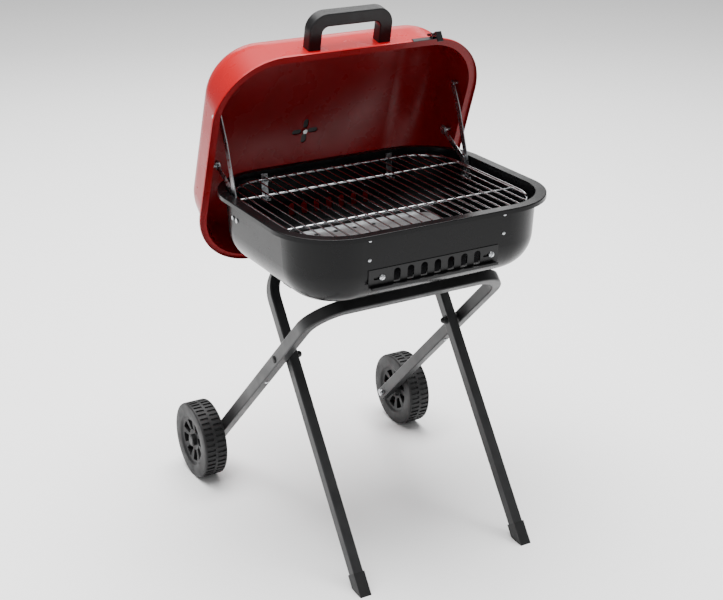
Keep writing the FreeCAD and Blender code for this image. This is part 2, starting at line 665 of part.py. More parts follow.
def makeWheel(side, name):
    """Moulded wheel with a broad tread, its axle bolt and its hub cap."""
    body = newBody(f"wheel_{name}")
    wide, radius, bore = dim("wheelWide"), dim("wheelRadius"), dim("axleRadius") + dim("runningGap")
    outline = newSketch(body, f"wheel{name}Half", "XY_Plane")
    polygon(outline, [(0, bore), (0, 15), (9, 18), (4, 52), (0, 55), (0, radius - 2.5), (2.5, radius),
                      (wide - 2.5, radius), (wide, radius - 2.5), (wide, 55), (wide - 4, 52), (wide - 9, 18),
                      (wide - 9, bore)])
    turn = body.newObject("PartDesign::Revolution", f"wheel{name}Turn")
    turn.Profile = outline
    turn.ReferenceAxis = (outline, ["H_Axis"])
    turn.Angle = 360
    doc.recompute()
    middle = Vector(side * dim("wheelInner"), dim("axleY"), dim("axleZ"))
    place = stance * Placement(middle, Rotation(Vector(0, 0, 1), 0 if side > 0 else 180))
    part(body, f"wheel_{name}", place)
    capRing = rod(f"hubRing{name}", (wide - 9, 0, 0), (wide - 1, 0, 0), 12.6)
    capTop = rod(f"hubTop{name}", (wide - 1.1, 0, 0), (wide, 0, 0), 10)
    hollow = rod(f"hubHollow{name}", (wide - 9, 0, 0), (wide - 3, 0, 0), 8.2)
    solidCap = fuse(f"hubCapBody{name}", [capRing, capTop])
    part(cut(f"hubCap{name}", solidCap, hollow), f"hub_cap_{name}", place)
    inA = dim("legHalfA") - dim("tubeWide") - dim("wheelInner")
    shank = rod(f"axleShank{name}", (inA - 8, 0, 0), (wide - 8.6, 0, 0), dim("axleRadius"), "#axleRadius")
    head = rod(f"axleHead{name}", (wide - 8.7, 0, 0), (wide - 4, 0, 0), 7)
    part(fuse(f"axleBolt{name}", [shank, head]), f"axle_bolt_{name}", place)
    nut = cut(f"axleNutCut{name}", rod(f"axleNut{name}", (inA - 6.5, 0, 0), (inA, 0, 0), 7.4),
              rod(f"axleNutBore{name}", (inA - 7, 0, 0), (inA + 1, 0, 0), dim("axleRadius")))
    outA = dim("legHalfA") - dim("wheelInner")
    spacer = cut(f"axleSpacerCut{name}", rod(f"axleSpacer{name}", (outA, 0, 0), (-0.3, 0, 0), 11),
                 rod(f"axleSpacerBore{name}", (outA - 1, 0, 0), (1, 0, 0), dim("axleRadius")))
    part(group(f"axleNuts{name}", [nut, spacer]), f"axle_nut_and_spacer_{name}", place)


def makeLid():
    body = pressedShell("lid_shell", dim("lidWallWidth"), dim("lidWallDepth"), dim("lidWallCorner"),
                        dim("lidWallMiddle"), dim("lidHigh"), dim("lidTaper"), dim("lidFillet"), False)
    steel = dim("sheetSteel")
    flange(body, "lid", (dim("lidHalfWidth"), dim("lidHalfDepth"), dim("lidCorner"), (0, 0),
                         dim("lidCorner")),
           (dim("lidWallWidth") - steel, dim("lidWallDepth") - steel, dim("lidWallCorner") - steel,
            (0, dim("lidWallMiddle"))), dim("lidLip"), False)
    vent = newSketch(body, "lidVent", "XY_Plane", dim("lidHigh") + 2)
    petals(vent, dim("petalWide") / 2, 13)
    circle(vent, (0, dim("ventLevel")), 3)
    pocket(body, vent, 10)
    pins = newSketch(body, "lidPinHoles", "YZ_Plane")
    circle(pins, (-101.84, 31.82), dim("studRadius") - 0.5)
    circle(pins, (6.76, 20.18), dim("studRadius") - 0.5)
    pocket(body, pins, 2 * dim("lidHalfWidth") + 20, middle=True)
    part(body, "lid_shell", lidPlace)


def petals(sketch, radius, near, turn=0.0):
    """Four rounded openings set crosswise about the lid vent's rivet, or turned from there."""
    mx, my = 0, dim("ventLevel")
    far = dim("petalReach") - radius
    for quarter in range(4):
        angle = math.radians(90 * quarter + turn)
        c, s = math.cos(angle), math.sin(angle)
        capsule(sketch, (mx + near * c, my + near * s), (mx + far * c, my + far * s), radius)


def makeLidDamper():
    """Round damper on the outside of the lid, drawn shut; it turns about its rivet by a bent tab."""
    body = newBody("lid_damper")
    top = dim("lidHigh") + 0.4
    disc = newSketch(body, "damperDisc", "XY_Plane", top)
    circle(disc, (0, dim("ventLevel")), dim("damperRadius"))
    petals(disc, dim("petalWide") / 2 - 2.2, 14, 45)
    circle(disc, (0, dim("ventLevel")), 3.05)
    pad(body, disc, 1.2)
    tab = newSketch(body, "damperTab", "XZ_Plane", -(dim("ventLevel") - 0.6))
    reach = dim("damperRadius")
    polygon(tab, [(reach - 5, top + 0.6), (reach + 9, top + 10),
                  (reach + 8, top + 11), (reach - 6, top + 1.2)])
    pad(body, tab, 14)
    part(body, "lid_damper", lidPlace)
    low, high = dim("lidHigh") - 3.4, dim("lidHigh") + 3.4
    y = dim("ventLevel")
    shank = rod("ventRivetShank", (0, y, low), (0, y, high), 3)
    inner = rod("ventRivetFoot", (0, y, low - 0.6), (0, y, dim("lidHigh") - 1.3), 5.2)
    outer = rod("ventRivetHead", (0, y, dim("lidHigh") + 1.8), (0, y, high), 5.6)
    part(fuse("ventRivet", [shank, inner, outer]), "lid_vent_rivet", lidPlace)


def makeHandle():
    """Moulded bow handle that stands square on the lid's front wall."""
    lean = math.tan(math.radians(dim("lidTaper")))
    level = dim("handleLevel")
    wall = dim("lidWallDepth") - dim("lidWallMiddle") - level * lean
    stand = Placement(Vector(0, -wall, level), Rotation(Vector(1, 0, 0), 90 - dim("lidTaper")))
    body = newBody("lid_handle")
    halfX, tall, bar = dim("handleWidth") / 2, dim("handleTall"), dim("handleBar")
    outer, inner = dim("handleOuter"), dim("handleInner")
    deep = dim("handleDeep")
    bow = newSketch(body, "handleBow", "XZ_Plane", -deep / 2)
    line(bow, (-halfX, 0), (-halfX, tall - outer))
    arc(bow, (-halfX + outer, tall - outer), outer, 90, 180)
    line(bow, (-halfX + outer, tall), (halfX - outer, tall))
    arc(bow, (halfX - outer, tall - outer), outer, 0, 90)
    line(bow, (halfX, tall - outer), (halfX, 0))
    line(bow, (halfX, 0), (halfX - bar, 0))
    line(bow, (halfX - bar, 0), (halfX - bar, tall - bar - inner))
    arc(bow, (halfX - bar - inner, tall - bar - inner), inner, 0, 90)
    line(bow, (halfX - bar - inner, tall - bar), (-halfX + bar + inner, tall - bar))
    arc(bow, (-halfX + bar + inner, tall - bar - inner), inner, 90, 180)
    line(bow, (-halfX + bar, tall - bar - inner), (-halfX + bar, 0))
    line(bow, (-halfX + bar, 0), (-halfX, 0))
    pad(body, bow, deep, "#handleDeep")
    fillet(body, lambda e: abs(abs(e.BoundBox.YMin) - deep / 2) < 0.01 and
           abs(e.BoundBox.YMax - e.BoundBox.YMin) < 0.01 and e.BoundBox.ZMax > 0.01, 3)
    part(body, "lid_handle", lidPlace * stand)
    screws = []
    for side in (-1, 1):
        x = side * (halfX - bar / 2)
        head = rod(f"handleHead{side + 1}", (x, 0, -5), (x, 0, -1.3), 5)
        shank = rod(f"handleShank{side + 1}", (x, 0, -1.4), (x, 0, 12), 2.2)
        screws.append(fuse(f"handleScrew{side + 1}", [head, shank]))
    part(group("handleScrews", screws), "handle_screws", lidPlace * stand)


def makeLatch():
    """Hook latch on the lid's front flange, swung on a pin between two ears; drawn released."""
    x, edge, steel = dim("latchX"), -dim("lidHalfDepth"), 1.2
    pinY, pinZ = edge - 8, -2
    base = newBody("latch_bracket")
    clip = newSketch(base, "latchClip", "YZ_Plane", x - 49)
    polygon(clip, [(edge + 15, 1.35), (edge - 0.4, 1.35), (edge - 0.4, -7), (edge - 1.6, -7),
                   (edge - 1.6, 2.55), (edge + 15, 2.55)])
    pad(base, clip, 58)
    for index, ear in enumerate((x - 7.6, x + 6.4)):
        outline = newSketch(base, f"latchEar{index}", "YZ_Plane", ear)
        polygon(outline, [(edge - 1.5, -6), (pinY - 4, -6), (pinY - 4, 2), (edge - 1.5, 2)])
        pad(base, outline, steel)
    part(base, "latch_bracket", lidPlace)
    hook = newBody("latch_hook")
    drop = -14.2                  # reaches below the lip of the bowl rim when the lid is shut
    bars = (((0, 0), (-6, 16), 2.4), ((0, 0), (0, drop), 2.2), ((0, drop), (17, drop), 1.8))
    for index, (start, end, radius) in enumerate(bars):
        bar = newSketch(hook, f"latchBar{index}", "YZ_Plane", x - 6)
        capsule(bar, start, end, radius)
        pad(hook, bar, 12)
    bore = newSketch(hook, "latchBore", "YZ_Plane", x - 7)
    circle(bore, (0, 0), 1.55)
    pocket(hook, bore, 14, reverse=True)
    pin = Placement(Vector(0, pinY, pinZ), Rotation())
    released = Rotation(Vector(1, 0, 0), -dim("latchSwing"))
    part(hook, "latch_hook", lidPlace * pin * Placement(Vector(), released))
    part(rod("latchPin", (x - 8, pinY, pinZ), (x + 8, pinY, pinZ), 1.5), "latch_pin", lidPlace)


def makeArms():
    """Stay arms of the lid: a cranked long one and a bent short one on each side."""
    wide, thick, stud = dim("armWidth") / 2, dim("armThick"), dim("studRadius")
    bore, plane = stud + dim("runningGap"), dim("armPlane")
    for side, name in ((-1, "left"), (1, "right")):
        label = f"long_arm_{name}"
        arm = newBody(label)
        low = plane + 3.2 if side > 0 else -plane - 3.2 - thick
        for index, (start, end) in enumerate(((longPivot, longKink), (longKink, longPin))):
            web = newSketch(arm, f"{label}Web{index}", "YZ_Plane", low)
            capsule(web, start, end, wide)
            pad(arm, web, thick, "#armThick")
        for index, spot in enumerate((longPivot, longPin)):
            eye = newSketch(arm, f"{label}Eye{index}", "YZ_Plane", low - 1)
            circle(eye, spot, bore if index == 0 else bore - 0.5)
            pocket(arm, eye, thick + 2, reverse=True)
        part(arm, label)
        label = f"short_arm_{name}"
        arm = newBody(label)
        low = plane if side > 0 else -plane - thick
        for index, (start, end) in enumerate(((shortPivot, shortElbow), (shortElbow, shortPin))):
            web = newSketch(arm, f"{label}Web{index}", "YZ_Plane", low)
            capsule(web, start, end, wide - 0.5)
            pad(arm, web, thick, "#armThick")
        boss = newSketch(arm, label + "Boss", "YZ_Plane", low)
        circle(boss, shortPin, 10.5)
        pad(arm, boss, thick, "#armThick")
        for index, (spot, radius) in enumerate(((shortPivot, bore), (shortPin, 7.1))):
            eye = newSketch(arm, f"{label}Eye{index}", "YZ_Plane", low - 1)
            circle(eye, spot, radius)
            pocket(arm, eye, thick + 2, reverse=True)
        part(arm, label)
    makeStuds()


def makeStuds():
    """Riveted studs the four arms turn on; each has its head outside the wall and a cap inside its arm."""
    plane, stud = dim("armPlane"), dim("studRadius")
    between, within = (plane + 2.3, 0.6), (plane - 1.9, 1.5)
    bowlStuds, lidStuds = [], []
    for side in (-1, 1):
        for index, (y, z) in enumerate((longPivot, shortPivot)):
            tip, capLong = (between, within)[index]
            wall = sideAt(z)
            tag = f"bowlStud{side + 1}{index}"
            shank = rod(tag + "Shank", (side * (wall + 0.4), y, z), (side * tip, y, z), stud, "#studRadius")
            cap = rod(tag + "Cap", (side * tip, y, z), (side * (tip + capLong), y, z), 5)
            head = rod(tag + "Head", (side * (wall + 0.2), y, z), (side * (wall + 2), y, z), 4.4)
            bowlStuds.append(fuse(tag, [shank, cap, head]))
        for index, (y, z) in enumerate(((-101.84, 31.82), (6.76, 20.18))):
            tip, capLong = (between, within)[index]
            wall = dim("lidWallWidth") - z * math.tan(math.radians(dim("lidTaper")))
            tag = f"lidStud{side + 1}{index}"
            shank = rod(tag + "Shank", (side * (wall + 0.4), y, z), (side * tip, y, z), stud - 0.5)
            cap = rod(tag + "Cap", (side * tip, y, z), (side * (tip + capLong), y, z), (5, 8.8)[index])
            head = rod(tag + "Head", (side * (wall + 0.2), y, z), (side * (wall + 2), y, z), 4.4)
            lidStuds.append(fuse(tag, [shank, head, cap]))
    part(group("bowlStuds", bowlStuds), "bowl_pivot_studs")
    part(group("lidStuds", lidStuds), "lid_pivot_studs", lidPlace)


# ---------------------------------------------------------------- build, check and write
makeBowl()
makeShutter("front_shutter", 0)
makeShutter("rear_shutter", 180)
makeShutterScrews("front_shutter_screws", -1)
makeShutterScrews("rear_shutter_screws", 1)
for sideSign, sideName in ((-1, "left"), (1, "right")):
    makeGrateBracket(f"grate_bracket_front_{sideName}", sideSign, True)
    makeGrateBracket(f"grate_bracket_rear_{sideName}", sideSign, False)
makeBracketRivets()
makeCookingGrate()
makeCharcoalGrate()
makeUnderBowl()
makeFrame("wheel_frame", "A", dim("seamA"), 1, legPlaceA)
makeFrame("foot_frame", "B", dim("seamB"), -1, legPlaceB)
makeFootCaps()
makePivots()
makeWheel(-1, "left")
makeWheel(1, "right")
makeLid()
makeLidDamper()
makeHandle()
makeLatch()
makeArms()
doc.recompute()

for item in doc.Objects:
    if "Invalid" in item.State or "Error" in item.State:
        raise RuntimeError("failed object " + item.Name)
for item in pieces:
    if item.Shape.isNull() or not item.Shape.isValid() or not item.Shape.Solids:
        raise RuntimeError("bad shape " + item.Label)
for item in pieces:
    item.Shape.exportStep(f"parts/{item.Label}.step")
print(len(pieces), "sub-parts written")
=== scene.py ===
import json
import math

import bmesh
import bpy
from mathutils import Euler, Matrix, Vector

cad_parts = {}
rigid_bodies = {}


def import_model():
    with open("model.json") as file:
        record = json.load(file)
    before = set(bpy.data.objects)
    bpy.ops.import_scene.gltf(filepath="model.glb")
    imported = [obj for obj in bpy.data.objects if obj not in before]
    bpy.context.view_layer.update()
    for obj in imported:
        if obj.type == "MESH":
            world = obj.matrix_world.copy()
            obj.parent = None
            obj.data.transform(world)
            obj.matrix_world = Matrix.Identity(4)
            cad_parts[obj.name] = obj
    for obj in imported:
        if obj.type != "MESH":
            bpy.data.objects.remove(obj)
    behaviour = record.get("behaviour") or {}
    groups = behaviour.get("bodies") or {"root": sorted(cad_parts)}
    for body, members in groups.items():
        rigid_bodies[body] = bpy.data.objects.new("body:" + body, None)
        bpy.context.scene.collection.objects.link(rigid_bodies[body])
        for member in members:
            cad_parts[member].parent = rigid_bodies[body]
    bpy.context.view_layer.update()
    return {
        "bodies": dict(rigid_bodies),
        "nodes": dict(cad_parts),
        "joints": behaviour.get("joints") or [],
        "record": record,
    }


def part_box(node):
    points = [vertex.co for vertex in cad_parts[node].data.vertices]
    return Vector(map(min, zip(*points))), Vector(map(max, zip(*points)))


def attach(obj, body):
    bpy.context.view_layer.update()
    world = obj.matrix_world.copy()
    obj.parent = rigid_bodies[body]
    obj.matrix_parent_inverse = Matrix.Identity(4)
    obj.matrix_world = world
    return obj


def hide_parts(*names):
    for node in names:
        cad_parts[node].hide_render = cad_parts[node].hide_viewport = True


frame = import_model()
mm = 0.001
nodes = frame["nodes"]
setBack = -73.844   # the bowl's middle along Y
lidTilt = 69.66     # degrees the lid is tipped back from shut
print("frame loaded:", len(nodes), "nodes")


# Colours and shader nodes

def linear(hexColour):
    # sRGB hex to the linear values that the shader takes
    parts = [int(hexColour[i:i + 2], 16) / 255 for i in (0, 2, 4)]
    return tuple(c / 12.92 if c <= 0.04045 else ((c + 0.055) / 1.055) ** 2.4 for c in parts) + (1.0,)


def addNode(tree, kind, settings=None, values=None, links=None):
    # one node, its settings, its socket values and its incoming links
    node = tree.nodes.new(kind)
    for name, setting in (settings or {}).items():
        setattr(node, name, setting)
    for name, value in (values or {}).items():
        node.inputs[name].default_value = value
    for name, source in (links or {}).items():
        tree.links.new(source, node.inputs[name])
    return node


def newMaterial(name, base, metallic, roughness, **extra):
    # a plain shader to add to; extra sockets are named with underscores for their spaces
    material = bpy.data.materials.new(name)
    material.use_nodes = True
    tree = material.node_tree
    tree.nodes.clear()
    shader = addNode(tree, "ShaderNodeBsdfPrincipled", values={
        "Base Color": linear(base), "Metallic": metallic, "Roughness": roughness})
    for socket, value in extra.items():
        shader.inputs[socket.replace("_", " ")].default_value = value
    addNode(tree, "ShaderNodeOutputMaterial", links={"Surface": shader.outputs["BSDF"]})
    place = addNode(tree, "ShaderNodeTexCoord").outputs["Object"]
    return material, tree, shader, place


def spread(tree, value, low, high, start=0.35, end=0.65):
    # maps a value that mostly lies between start and end onto low to high
    return addNode(tree, "ShaderNodeMapRange", values={
        "From Min": start, "From Max": end, "To Min": low, "To Max": high},
        links={"Value": value}).outputs["Result"]


def noise(tree, place, sizeMm, detail):
    # noise whose grains are about sizeMm across
    return addNode(tree, "ShaderNodeTexNoise", values={
        "Scale": 1 / (sizeMm * mm), "Detail": detail, "Roughness": 0.55},
        links={"Vector": place}).outputs["Fac"]


def bump(tree, shader, height, depthMm, strength):
    # fine relief of a given depth, linked to the shader
    node = addNode(tree, "ShaderNodeBump", values={"Strength": strength, "Distance": depthMm * mm},
                   links={"Height": height})
    tree.links.new(node.outputs["Normal"], shader.inputs["Normal"])


def mixColour(tree, factor, first, second):
    # a colour mix node keeps its two colours in sockets 6 and 7 and gives the blend in output 2
    mix = addNode(tree, "ShaderNodeMix", {"data_type": "RGBA"}, links={"Factor": factor})
    mix.inputs[6].default_value = linear(first)
    mix.inputs[7].default_value = linear(second)
    return mix.outputs[2]


def cloudyColour(tree, shader, cloud, first, second):
    # drifts between two close colours
    tree.links.new(mixColour(tree, spread(tree, cloud, 0, 1), first, second), shader.inputs["Base Color"])


def edgeWear(tree, radiusMm, start, end):
    # bright where two faces meet, from the difference that a bevelled normal makes
    soft = addNode(tree, "ShaderNodeBevel", {"samples": 4}, {"Radius": radiusMm * mm})
    flat = addNode(tree, "ShaderNodeNewGeometry").outputs["Normal"]
    same = addNode(tree, "ShaderNodeVectorMath", {"operation": "DOT_PRODUCT"})
    tree.links.new(soft.outputs["Normal"], same.inputs[0])
    tree.links.new(flat, same.inputs[1])
    return spread(tree, same.outputs["Value"], 1.0, 0.0, start, end)


enamel = {"peelMm": 2.2, "peelDepth": 0.02, "cloudMm": 95}


def makeEnamel(name, base, shade, roughness, gloss):
    # Fired vitreous enamel, sprayed on steel: a deep even colour, faint orange peel in its highlights
    material, tree, shader, place = newMaterial(name, base, 0.0, roughness, IOR=1.5,
                                                Specular_IOR_Level=gloss)
    cloud = noise(tree, place, enamel["cloudMm"], 4)
    cloudyColour(tree, shader, cloud, base, shade)
    tree.links.new(spread(tree, cloud, roughness - 0.03, roughness + 0.05), shader.inputs["Roughness"])
    bump(tree, shader, noise(tree, place, enamel["peelMm"], 2), enamel["peelDepth"], 0.35)
    return material


def makeLidEnamel():
    # Red vitreous enamel: full and glossy outside; the side facing the food gets a darker red, which is
    # painted shade and painted dark reflection from the black bowl
    # inside and insideShade are painted shade: the lid's inner face is drawn darker red in place of the
    # shade and dark reflection it gets
    lidCoatAndShade = {"outside": "a50f16", "outsideShade": "9f0e15", "inside": "780b10", "insideShade": "730b0f",
             "towardsMouth": 0.03}
    material, tree, shader, place = newMaterial("vitreousEnamelRed", lidCoatAndShade["outside"], 0.0, 0.28, IOR=1.5,
                                                Specular_IOR_Level=0.15)
    tilt = math.radians(lidTilt)
    openWay = (0, -math.sin(tilt), -math.cos(tilt))   # out of the lid's mouth
    corner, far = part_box("lid_shell")
    middle = [(low + high) / 2 for low, high in zip(corner, far)]
    middle[1] -= lidCoatAndShade["towardsMouth"]
    inwards = addNode(tree, "ShaderNodeVectorMath", {"operation": "SUBTRACT"})
    inwards.inputs[0].default_value = middle
    tree.links.new(place, inwards.inputs[1])
    facing = addNode(tree, "ShaderNodeVectorMath", {"operation": "DOT_PRODUCT"})
    tree.links.new(inwards.outputs["Vector"], facing.inputs[0])
    tree.links.new(addNode(tree, "ShaderNodeTexCoord").outputs["Normal"], facing.inputs[1])
    rimward = addNode(tree, "ShaderNodeVectorMath", {"operation": "DOT_PRODUCT"})
    tree.links.new(addNode(tree, "ShaderNodeTexCoord").outputs["Normal"], rimward.inputs[0])
    rimward.inputs[1].default_value = openWay
    # painted shade mask: faces turned inwards and faces towards the mouth take the darker inside red
    paintedShadeMask = addNode(tree, "ShaderNodeMath", {"operation": "MAXIMUM"}, links={
        0: spread(tree, facing.outputs["Value"], 0, 1, -0.004, 0.004),
        1: spread(tree, rimward.outputs["Value"], 0, 1, 0.55, 0.65)})
    cloud = spread(tree, noise(tree, place, enamel["cloudMm"], 4), 0, 1)
    outer = mixColour(tree, cloud, lidCoatAndShade["outside"], lidCoatAndShade["outsideShade"])
    # the darker inside red, painted shade, drifting between its two tones
    inner = mixColour(tree, cloud, lidCoatAndShade["inside"], lidCoatAndShade["insideShade"])
    choose = addNode(tree, "ShaderNodeMix", {"data_type": "RGBA"}, links={
        "Factor": paintedShadeMask.outputs["Value"]})
    tree.links.new(outer, choose.inputs[6])
    tree.links.new(inner, choose.inputs[7])
    tree.links.new(choose.outputs[2], shader.inputs["Base Color"])
    tree.links.new(spread(tree, cloud, 0.24, 0.32, 0, 1), shader.inputs["Roughness"])
    bump(tree, shader, noise(tree, place, enamel["peelMm"], 2), enamel["peelDepth"], 0.35)
    return material


def makePowderCoat():
    # Polyester powder coat, baked on tube: satin black with a fine even grain that spreads the light
    grain = {"grainMm": 0.9, "depth": 0.03, "cloudMm": 45, "roughness": 0.42}
    material, tree, shader, place = newMaterial("powderCoatBaked", "1d1d1e", 0.0, grain["roughness"],
                                                IOR=1.5, Specular_IOR_Level=0.35)
    cloud = noise(tree, place, grain["cloudMm"], 4)
    cloudyColour(tree, shader, cloud, "1d1d1e", "232324")
    tree.links.new(spread(tree, cloud, 0.36, 0.48), shader.inputs["Roughness"])
    bump(tree, shader, noise(tree, place, grain["grainMm"], 2), grain["depth"], 0.4)
    return material


def makeZincPlate():
    # Bright zinc plate, dipped after pressing: silver with soft cloudy patches and fine press lines
    material, tree, shader, place = newMaterial("zincPlateDipped", "b9bbbd", 1.0, 0.3)
    zinc = {"cloudMm": 9, "pressMm": 1.5, "pressDepth": 0.03}
    cloud = noise(tree, place, zinc["cloudMm"], 5)
    cloudyColour(tree, shader, cloud, "c9cbcd", "a2a5a8")
    tree.links.new(spread(tree, cloud, 0.2, 0.4), shader.inputs["Roughness"])
    bump(tree, shader, noise(tree, place, zinc["pressMm"], 3), zinc["pressDepth"], 0.4)
    return material


def makeChrome():
    # Nickel-chrome plate over drawn wire: mirror bright, barely broken by drawing marks
    material, tree, shader, place = newMaterial("chromePlateWire", "c9cacc", 1.0, 0.16)
    wire = {"cloudMm": 14, "drawnMm": 1.2, "drawnDepth": 0.015}
    cloud = noise(tree, place, wire["cloudMm"], 4)
    cloudyColour(tree, shader, cloud, "d6d7d9", "b4b5b8")
    tree.links.new(spread(tree, cloud, 0.12, 0.24), shader.inputs["Roughness"])
    bump(tree, shader, noise(tree, place, wire["drawnMm"], 2), wire["drawnDepth"], 0.3)
    return material


def makeBrightSheet():
    # Rolled galvanised sheet: cool silver with the mill's faint lines along it
    material, tree, shader, place = newMaterial("galvanisedSheetRolled", "e4e6e8", 1.0, 0.42)
    rolled = {"lineMm": 1.2, "cloudMm": 12, "lineDepth": 0.02}
    stretched = addNode(tree, "ShaderNodeMapping", values={"Scale": (0.05, 1, 1)}, links={"Vector": place})
    lines = noise(tree, stretched.outputs["Vector"], rolled["lineMm"], 3)
    cloud = noise(tree, place, rolled["cloudMm"], 5)
    cloudyColour(tree, shader, cloud, "f0f1f2", "d6d8da")
    tree.links.new(spread(tree, lines, 0.36, 0.5), shader.inputs["Roughness"])
    bump(tree, shader, lines, rolled["lineDepth"], 0.3)
    return material


def makePhenolic():
    # Moulded phenolic for hot handles: dense black with a soft sheen and a faint moulded grain
    material, tree, shader, place = newMaterial("phenolicMoulded", "101011", 0.0, 0.38, IOR=1.52,
                                                Specular_IOR_Level=0.25)
    mould = {"cloudMm": 18, "grainMm": 0.9, "grainDepth": 0.03}
    cloud = noise(tree, place, mould["cloudMm"], 4)
    cloudyColour(tree, shader, cloud, "101011", "161617")
    tree.links.new(spread(tree, cloud, 0.32, 0.44), shader.inputs["Roughness"])
    bump(tree, shader, noise(tree, place, mould["grainMm"], 2), mould["grainDepth"], 0.4)
    return material


def makePolypropylene(name, base, light, roughness):
    # Moulded polypropylene: matt black, slightly grey where it is rubbed, with a spark-eroded mould grain
    material, tree, shader, place = newMaterial(name, base, 0.0, roughness, IOR=1.49,
                                                Specular_IOR_Level=0.35)
    mould = {"cloudMm": 22, "grainMm": 0.8, "grainDepth": 0.04, "wearMm": 0.8}
    cloud = noise(tree, place, mould["cloudMm"], 5)
    rubbed = edgeWear(tree, mould["wearMm"], 0.85, 0.99)
    worn = addNode(tree, "ShaderNodeMath", {"operation": "MULTIPLY"}, links={0: rubbed})
    tree.links.new(spread(tree, cloud, 0.3, 1.0), worn.inputs[1])
    tree.links.new(mixColour(tree, worn.outputs["Value"], base, light), shader.inputs["Base Color"])
    tree.links.new(spread(tree, cloud, roughness - 0.06, roughness + 0.08), shader.inputs["Roughness"])
    bump(tree, shader, noise(tree, place, mould["grainMm"], 2), mould["grainDepth"], 0.45)
    return material


finishes = {
    "bowl_enamel": makeEnamel("vitreousEnamelBlack", "0a0a0b", "0d0d0e", 0.25, 0.15),
    "lid_enamel": makeLidEnamel(),
    "damper_black": makeEnamel("enamelStripBlack", "0b0b0c", "101011", 0.32, 0.25),
    "leg_powder_coat": makePowderCoat(),
    "zinc_plate": makeZincPlate(),
    "grate_chrome": makeChrome(),
    "sheet_aluminium": makeBrightSheet(),
    "handle_plastic": makePhenolic(),
    "wheel_plastic": makePolypropylene("polypropyleneWheel", "161617", "2b2b2c", 0.55),
    "cap_plastic": makePolypropylene("polypropyleneCap", "131314", "262627", 0.5),
}
slotOf = {part["node"]: part["material_slot"] for part in frame["record"]["subparts"]}
for nodeName, item in nodes.items():
    item.data.materials.clear()
    item.data.materials.append(finishes[slotOf[nodeName]])
print("finishes laid on the frame")


# Mesh helpers for the finer pieces

sharpEdge = 32   # degrees from which an edge is drawn crisp


def lathe(points, steps):
    # turns an outline of (radius, height) points about Z and closes it at the axis
    bm = bmesh.new()
    line = [bm.verts.new((radius * mm, 0, height * mm)) for radius, height in points]
    edges = [bm.edges.new(pair) for pair in zip(line, line[1:])]
    bmesh.ops.spin(bm, geom=line + edges, cent=(0, 0, 0), axis=(0, 0, 1), angle=math.tau, steps=steps,
                   use_merge=True)
    bmesh.ops.remove_doubles(bm, verts=bm.verts, dist=0.01 * mm)
    bmesh.ops.recalc_face_normals(bm, faces=bm.faces)
    return bm


def joined(parts):
    # one bmesh from several (bmesh, matrix) copies
    whole = bmesh.new()
    for bm, matrix in parts:
        copy = bpy.data.meshes.new("copy")
        bm.to_mesh(copy)
        copy.transform(matrix)
        if matrix.determinant() < 0:
            copy.flip_normals()
        whole.from_mesh(copy)
        bpy.data.meshes.remove(copy)
    return whole


def finishPiece(name, bm, body, slotName, replaced):
    # a bmesh becomes a shown piece on its body, with the slot's finish, in place of one node
    mesh = bpy.data.meshes.new(name)
    bm.to_mesh(mesh)
    bm.free()
    mesh.materials.append(finishes[slotName])
    mesh.polygons.foreach_set("use_smooth", [True] * len(mesh.polygons))
    mesh.set_sharp_from_angle(angle=math.radians(sharpEdge))
    piece = bpy.data.objects.new(name, mesh)
    bpy.context.scene.collection.objects.link(piece)
    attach(piece, body)
    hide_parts(replaced)


def cutWith(bm, tool):
    # takes the tool's solid out of bm; both end as one new bmesh
    scene = bpy.context.scene
    pair = []
    for source in (bm, tool):
        mesh = bpy.data.meshes.new("cut")
        source.to_mesh(mesh)
        source.free()
        pair.append(bpy.data.objects.new("cut", mesh))
        scene.collection.objects.link(pair[-1])
    taken = pair[0].modifiers.new("cut", "BOOLEAN")
    taken.operation, taken.solver, taken.object = "DIFFERENCE", "EXACT", pair[1]
    bpy.context.view_layer.update()
    whole = pair[0].evaluated_get(bpy.context.evaluated_depsgraph_get())
    result = bmesh.new()
    result.from_mesh(bpy.data.meshes.new_from_object(whole))
    for item in pair:
        bpy.data.objects.remove(item)
    return result


def quarterRound(radius, foot, rise, rings):
    # outline of a dome from its shoulder at height foot up to the axis
    points = []
    for ring in range(1, rings + 1):
        angle = math.pi / 2 * ring / rings
        points.append((radius * math.cos(angle), foot + rise * math.sin(angle)))
    return points


def dome(radius, tall, steps=24, foot=0.4):
    # low domed head on a short straight edge, sunk a little into what it sits on
    sunk = -0.6
    points = [(0, sunk), (radius, sunk), (radius, foot)] + quarterRound(radius, foot, tall - foot, 6)
    return lathe(points, steps)


def placeAt(x, y, z, turn=(0, 0, 0)):
    # matrix for a piece at a place in millimetres, y from the bowl's middle, turned in degrees
    spin = Euler([math.radians(angle) for angle in turn]).to_matrix().to_4x4()
    return Matrix.Translation(Vector((x, y + setBack, z)) * mm) @ spin


wheel = {"steps": 176, "radius": 83, "wide": 51.5, "bore": 4.05, "hubRecess": 9,
         "inner": 230.2, "axleY": 333.8, "axleZ": 83,
         "rows": ((4.5, 23.0), (28.5, 47.0)), "notchStep": 4, "notchDeep": 2.6, "notchEdge": 0.35,
         "pockets": 8, "pocketShare": 0.6, "pocketDeep": 13, "pocketEdge": 1.2,
         "pocketIn": 23, "pocketOut": 46}


